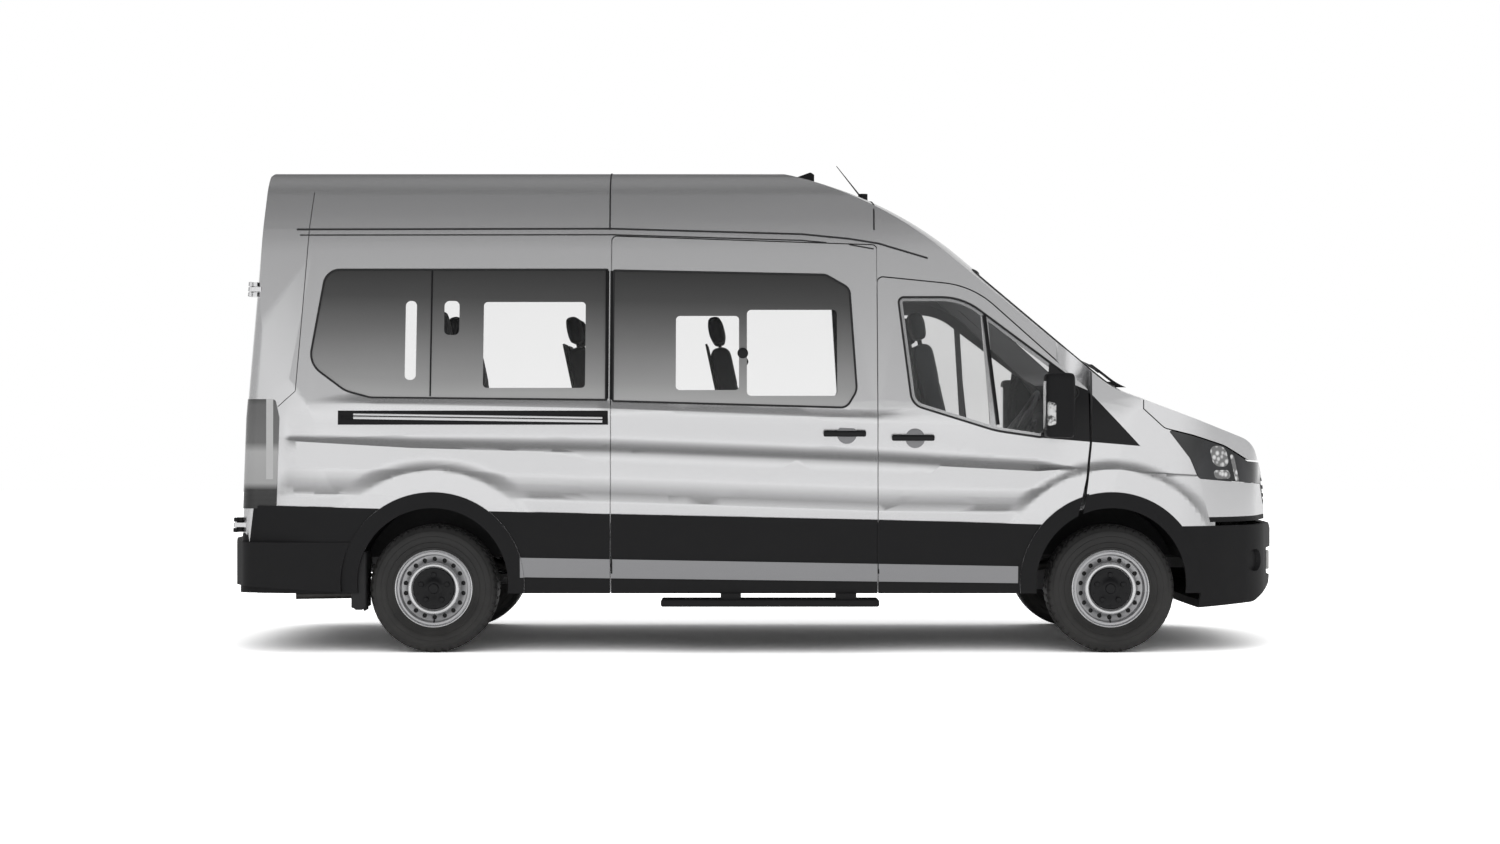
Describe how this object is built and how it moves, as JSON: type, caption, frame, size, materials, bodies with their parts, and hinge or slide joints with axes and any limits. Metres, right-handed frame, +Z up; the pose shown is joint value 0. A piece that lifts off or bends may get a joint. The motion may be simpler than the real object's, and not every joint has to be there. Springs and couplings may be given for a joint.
{
  "type": "minibus",
  "caption": "High-roof minibus with a sliding side door, hinged front and rear doors, opening bonnet and steered front wheels.",
  "frame": {"origin": "on the ground under the middle of the vehicle", "axes": "+X to the front, +Y to the left, +Z up"},
  "size_m": [5.9808, 2.474, 2.7973],
  "materials": {
    "paint": "metallic silver",
    "cladding": "grained",
    "steel": "painted frame",
    "rim": "silver paint",
    "tyre": "matte",
    "glass": "tinted",
    "screen": "clear",
    "lamp": "clear lens",
    "tail": "lens",
    "fabric": "woven",
    "interior": "moulded",
    "exhaust": "plain",
    "engine": "plain"
  },
  "bodies": {
    "body": {"cab_frame": "paint", "chassis": "steel", "front_suspension": "steel", "rear_axle": "steel", "drivetrain": "engine", "fuel_tank": "interior", "exhaust": "exhaust", "floor": "interior", "roof": "paint", "side_wall_left": "paint", "side_wall_right": "paint", "rear_frame": "paint", "sliding_door": "paint", "side_glass": "glass", "windscreen": "screen", "fenders": "paint", "front_bumper": "paint", "grille": "cladding", "headlamps": "lamp", "rear_bumper": "cladding", "tail_lamps": "tail", "side_cladding": "cladding", "door_track": "cladding", "wheel_liners": "interior", "seat_frames": "steel", "seat_cushions": "fabric", "dashboard": "interior", "side_step": "cladding", "antennas": "cladding", "wipers": "cladding", "radiator": "steel"},
    "bonnet": {"bonnet": "paint"},
    "steering_wheel": {"steering_wheel": "interior"},
    "front_door_left": {"front_door_left": "paint", "front_door_trim_left": "cladding", "front_door_glass_left": "glass", "mirror_left": "cladding"},
    "rear_door_left": {"rear_door_left": "paint", "rear_glass_left": "glass"},
    "knuckle_left": {"knuckle_left": "steel"},
    "wheel_front_left": {"tyre_front_left": "tyre", "rim_front_left": "rim"},
    "wheel_rear_left": {"tyre_rear_left": "tyre", "rim_rear_left": "rim"},
    "front_door_right": {"front_door_right": "paint", "front_door_trim_right": "cladding", "front_door_glass_right": "glass", "mirror_right": "cladding"},
    "rear_door_right": {"rear_door_right": "paint", "rear_glass_right": "glass"},
    "knuckle_right": {"knuckle_right": "steel"},
    "wheel_front_right": {"tyre_front_right": "tyre", "rim_front_right": "rim"},
    "wheel_rear_right": {"tyre_rear_right": "tyre", "rim_rear_right": "rim"}
  },
  "joints": [
    {"name": "front_door_left_hinge", "type": "hinge", "parent": "body", "child": "front_door_left", "pos_m": [1.765, 0.975, 1.05], "axis": [0, 0, -1], "range_deg": [0, 65]},
    {"name": "rear_door_left_hinge", "type": "hinge", "parent": "body", "child": "rear_door_left", "pos_m": [-2.891, 0.905, 0.705], "axis": [-0.0628, 0, -0.998], "range_deg": [0, 180]},
    {"name": "steer_left", "type": "hinge", "parent": "body", "child": "knuckle_left", "pos_m": [1.9675, 0.78, 0.354], "axis": [0, 0, 1], "range_deg": [-35, 35]},
    {"name": "wheel_front_left", "type": "hinge", "parent": "knuckle_left", "child": "wheel_front_left", "pos_m": [1.9675, 0.868, 0.354], "axis": [0, 1, 0], "continuous": true},
    {"name": "wheel_rear_left", "type": "hinge", "parent": "body", "child": "wheel_rear_left", "pos_m": [-1.7825, 0.868, 0.354], "axis": [0, 1, 0], "continuous": true},
    {"name": "front_door_right_hinge", "type": "hinge", "parent": "body", "child": "front_door_right", "pos_m": [1.765, -0.975, 1.05], "axis": [0, 0, 1], "range_deg": [0, 65]},
    {"name": "rear_door_right_hinge", "type": "hinge", "parent": "body", "child": "rear_door_right", "pos_m": [-2.891, -0.905, 0.705], "axis": [0.0628, 0, 0.998], "range_deg": [0, 180]},
    {"name": "steer_right", "type": "hinge", "parent": "body", "child": "knuckle_right", "pos_m": [1.9675, -0.78, 0.354], "axis": [0, 0, 1], "range_deg": [-35, 35]},
    {"name": "wheel_front_right", "type": "hinge", "parent": "knuckle_right", "child": "wheel_front_right", "pos_m": [1.9675, -0.868, 0.354], "axis": [0, 1, 0], "continuous": true},
    {"name": "wheel_rear_right", "type": "hinge", "parent": "body", "child": "wheel_rear_right", "pos_m": [-1.7825, -0.868, 0.354], "axis": [0, 1, 0], "continuous": true},
    {"name": "bonnet_hinge", "type": "hinge", "parent": "body", "child": "bonnet", "pos_m": [2.16, 0, 1.43], "axis": [0, -1, 0], "range_deg": [0, 55]},
    {"name": "steering", "type": "hinge", "parent": "body", "child": "steering_wheel", "pos_m": [1.64, 0.43, 1.29], "axis": [-0.8829, 0, 0.4695], "range_deg": [-540, 540]}
  ],
  "couplings": [
    {"joint": "steer_right", "follows": "steer_left", "ratio": 1},
    {"joint": "steering", "follows": "steer_left", "ratio": 15}
  ]
}
